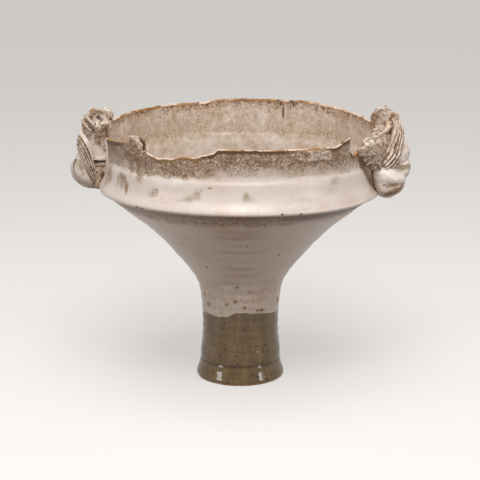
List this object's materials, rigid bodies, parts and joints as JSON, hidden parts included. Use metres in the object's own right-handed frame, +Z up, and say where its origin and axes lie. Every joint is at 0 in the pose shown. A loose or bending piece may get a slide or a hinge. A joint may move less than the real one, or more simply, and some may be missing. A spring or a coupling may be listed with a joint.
{
  "type": "tapered footed vessel",
  "caption": "Tapered stoneware bowl on a tall hollow stem, with a beaded shoulder, a torn rim and a pressed lug on each side.",
  "frame": {"origin": "centre of the foot ring's flat underside, on the table", "axes": "+Z up along the axis of throwing, -Y towards the front with the torn notch to the right of it, +X through the right lug"},
  "size_m": [0.3146, 0.26, 0.2555],
  "materials": {
    "white_glaze": "satin, speckled with iron",
    "rim_glaze": "satin, breaking to orange-brown on the torn edge",
    "lug_glaze": "satin, pooled white over brown grooves",
    "olive_glaze": "glossy olive brown with dark specks"
  },
  "bodies": {
    "root": {"foot_ring": "olive_glaze", "stem": "olive_glaze", "funnel": "white_glaze", "collar": "white_glaze", "rim_strip_left": "rim_glaze", "rim_strip_front": "rim_glaze", "rim_strip_back": "rim_glaze", "rim_lap": "rim_glaze", "rim_patch": "rim_glaze", "rim_curl": "rim_glaze", "left_lug_core": "lug_glaze", "left_lug_pad": "lug_glaze", "left_lug_strap": "lug_glaze", "left_lug_roll": "lug_glaze", "left_lug_lip": "lug_glaze", "left_lug_tip": "lug_glaze", "left_lug_crown": "lug_glaze", "left_lug_fold": "lug_glaze", "right_lug_body": "lug_glaze", "right_lug_leaf": "lug_glaze", "right_lug_drop": "lug_glaze", "right_lug_lower_knob": "lug_glaze", "right_lug_upper_knob": "lug_glaze", "right_lug_strap": "lug_glaze", "right_lug_lip": "lug_glaze"}
  },
  "joints": []
}
